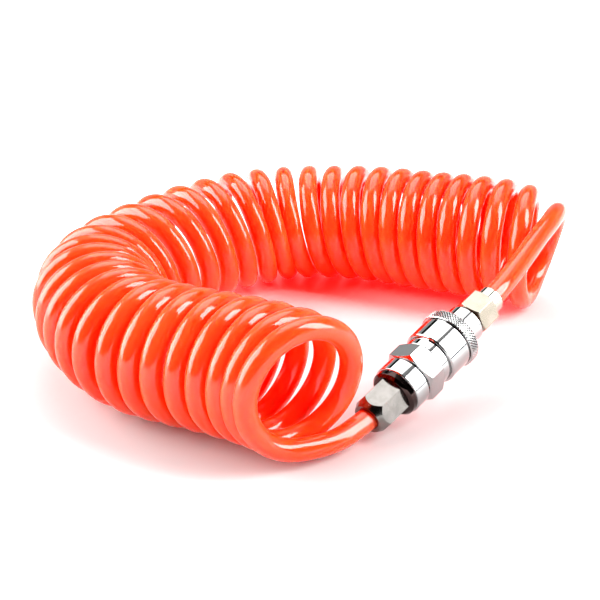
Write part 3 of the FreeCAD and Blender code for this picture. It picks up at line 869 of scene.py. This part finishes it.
def make_metals():
    """The finishes by their slot in the record, and three more for pieces with a band; two of these bands
    are painted shade and a painted dark reflection.
    """
    # Painted dark reflection: the adapter's chrome shoulder is coloured near-black brown where it would
    # mirror dark surroundings.
    shoulder_painted_dark_reflection = (SOCKET_NUT_END - GAP, SHOULDER_END - GAP, (0.05, 0.032, 0.03), 0.08)
    polished_tail = (PLUG_HEX_END + GAP, PLUG_NUT_END, (0.42, 0.38, 0.33), 0.05)
    # Painted shade: the plug's relief groove, between its collar and the nut, is coloured dark brown where
    # the gap lies in shadow.
    relief_painted_shade = (PLUG_RELIEF_START - GAP, PLUG_NUT_START, (0.08, 0.05, 0.03), 0.2)
    matt_knurl = (KNURL_START, SLEEVE_END, grey(0.38), 0.25)
    return {
        "polished_chrome": chrome("chrome_finish"),
        "adapter_chrome": chrome("adapter_painted_reflection_finish", shoulder_painted_dark_reflection),
        "plug_chrome": chrome("plug_painted_shade_finish", relief_painted_shade),
        "sleeve_chrome": chrome("sleeve_finish", matt_knurl),
        "satin_nickel": satin_nickel(),
        "warm_nickel": warm_nickel(polished_tail),
        "spring_steel": spring_steel(),
        "ball_steel": ball_steel(),
        "brass": brass(),
        "black_rubber": rubber(),
    }


# ---------------------------------------------------------------- studio
def make_floor():
    mesh = bpy.data.meshes.new("floor")
    corners = [(x * FLOOR_HALF, y * FLOOR_HALF, 0) for x, y in ((-1, -1), (1, -1), (1, 1), (-1, 1))]
    mesh.from_pydata(corners, [], [(0, 1, 2, 3)])
    floor = bpy.data.objects.new("floor", mesh)
    bpy.context.scene.collection.objects.link(floor)
    material, tree, shader = new_material("floor")
    shader.inputs["Base Color"].default_value = (*grey(FLOOR_GREY), 1)
    shader.inputs["Roughness"].default_value = 0.8
    shader.inputs["Emission Color"].default_value = (1, 1, 1, 1)
    coordinates = tree.nodes.new("ShaderNodeTexCoord")
    distance = tree.nodes.new("ShaderNodeVectorMath")
    distance.operation = "LENGTH"
    tree.links.new(coordinates.outputs["Object"], distance.inputs[0])
    glow = tree.nodes.new("ShaderNodeMapRange")
    glow.interpolation_type = "SMOOTHSTEP"
    glow.inputs["From Min"].default_value = FLOOR_GLOW_START
    glow.inputs["From Max"].default_value = FLOOR_GLOW_END
    glow.inputs["To Max"].default_value = FLOOR_GLOW
    tree.links.new(distance.outputs["Value"], glow.inputs["Value"])
    tree.links.new(glow.outputs["Result"], shader.inputs["Emission Strength"])
    mesh.materials.append(material)


def area_light(name, place, target, width, height, power):
    light = bpy.data.lights.new(name, "AREA")
    light.shape = "RECTANGLE"
    light.size = width
    light.size_y = height
    light.energy = power
    obj = bpy.data.objects.new(name, light)
    bpy.context.scene.collection.objects.link(obj)
    obj.location = place
    obj.rotation_euler = (Vector(target) - Vector(place)).to_track_quat("-Z", "Y").to_euler()


def make_softboxes():
    for name, (direction, width, height, radiance) in SOFTBOXES.items():
        place = Vector(direction).normalized() * SOFTBOX_DISTANCE
        area_light(name, place, SOFTBOX_TARGET, width, height, radiance * math.pi * width * height)


def make_glow_lamps():
    axis = points_along(COIL_AXIS, ROUTE_STEPS)
    for number in range(GLOW_LAMPS):
        along = GLOW_SPAN[0] + (GLOW_SPAN[1] - GLOW_SPAN[0]) * number / (GLOW_LAMPS - 1)
        place = axis[round(along * (len(axis) - 1))]
        light = bpy.data.lights.new(f"glow_{number}", "POINT")
        light.energy = GLOW_POWER
        light.color = GLOW_COLOUR
        light.shadow_soft_size = GLOW_RADIUS
        light.use_shadow = False
        obj = bpy.data.objects.new(f"glow_{number}", light)
        obj.location = (Vector(place) + Vector(GLOW_SHIFT)) * MM
        bpy.context.scene.collection.objects.link(obj)


def make_world():
    """A room with a grey wall behind, a dark slot above that wall, and darkness in front."""
    world = bpy.data.worlds.new("studio")
    bpy.context.scene.world = world
    world.use_nodes = True
    tree = world.node_tree
    background = tree.nodes["Background"]
    coordinates = tree.nodes.new("ShaderNodeTexCoord")
    split = tree.nodes.new("ShaderNodeSeparateXYZ")
    tree.links.new(coordinates.outputs["Generated"], split.inputs["Vector"])
    forwards = tree.nodes.new("ShaderNodeMapRange")
    forwards.inputs["From Min"].default_value = -1
    forwards.inputs["From Max"].default_value = 1
    tree.links.new(split.outputs["Y"], forwards.inputs["Value"])
    wall_greys = (grey(ROOM_FRONT), grey(ROOM_BACK))
    walls = ramp(tree, forwards.outputs["Result"], list(zip(ROOM_FADE, wall_greys)))
    slot_greys = (grey(1), grey(SLOT_GREY), grey(SLOT_GREY), grey(1))
    slot = ramp(tree, split.outputs["Z"], list(zip(SLOT_EDGES, slot_greys)))
    both = tree.nodes.new("ShaderNodeMix")
    both.data_type = "RGBA"
    both.blend_type = "MULTIPLY"
    both.inputs["Factor"].default_value = 1
    tree.links.new(walls, both.inputs["A"])
    tree.links.new(slot, both.inputs["B"])
    tree.links.new(both.outputs["Result"], background.inputs["Color"])
    background.inputs["Strength"].default_value = 1.0


def coat_cad_nodes(metals):
    """The CAD nodes that stay in view take the finish of their slot in the record."""
    slots = {part["node"]: part["material_slot"] for part in frame["record"]["subparts"]}
    for node, obj in frame["nodes"].items():
        if slots[node] in metals:
            obj.data.materials.clear()
            obj.data.materials.append(metals[slots[node]])


def main():
    make_camera()
    make_hose()
    metals = make_metals()
    coat_cad_nodes(metals)
    make_socket_nut(metals)
    make_socket_adapter(metals)
    make_socket_body(metals)
    make_sleeve(metals)
    make_plug_body(metals)
    make_plug_nut(metals)
    make_spring(
        "sleeve_spring_piece", SLEEVE_SPRING, metals, "sleeve_carrier", "sleeve_spring",
    )
    make_spring(
        "valve_spring_piece", VALVE_SPRING, metals, "valve", "valve_spring",
    )
    make_floor()
    make_softboxes()
    make_glow_lamps()
    make_world()
    settings = bpy.context.scene.view_settings
    settings.view_transform = "Standard"
    settings.exposure = 0.0


main()
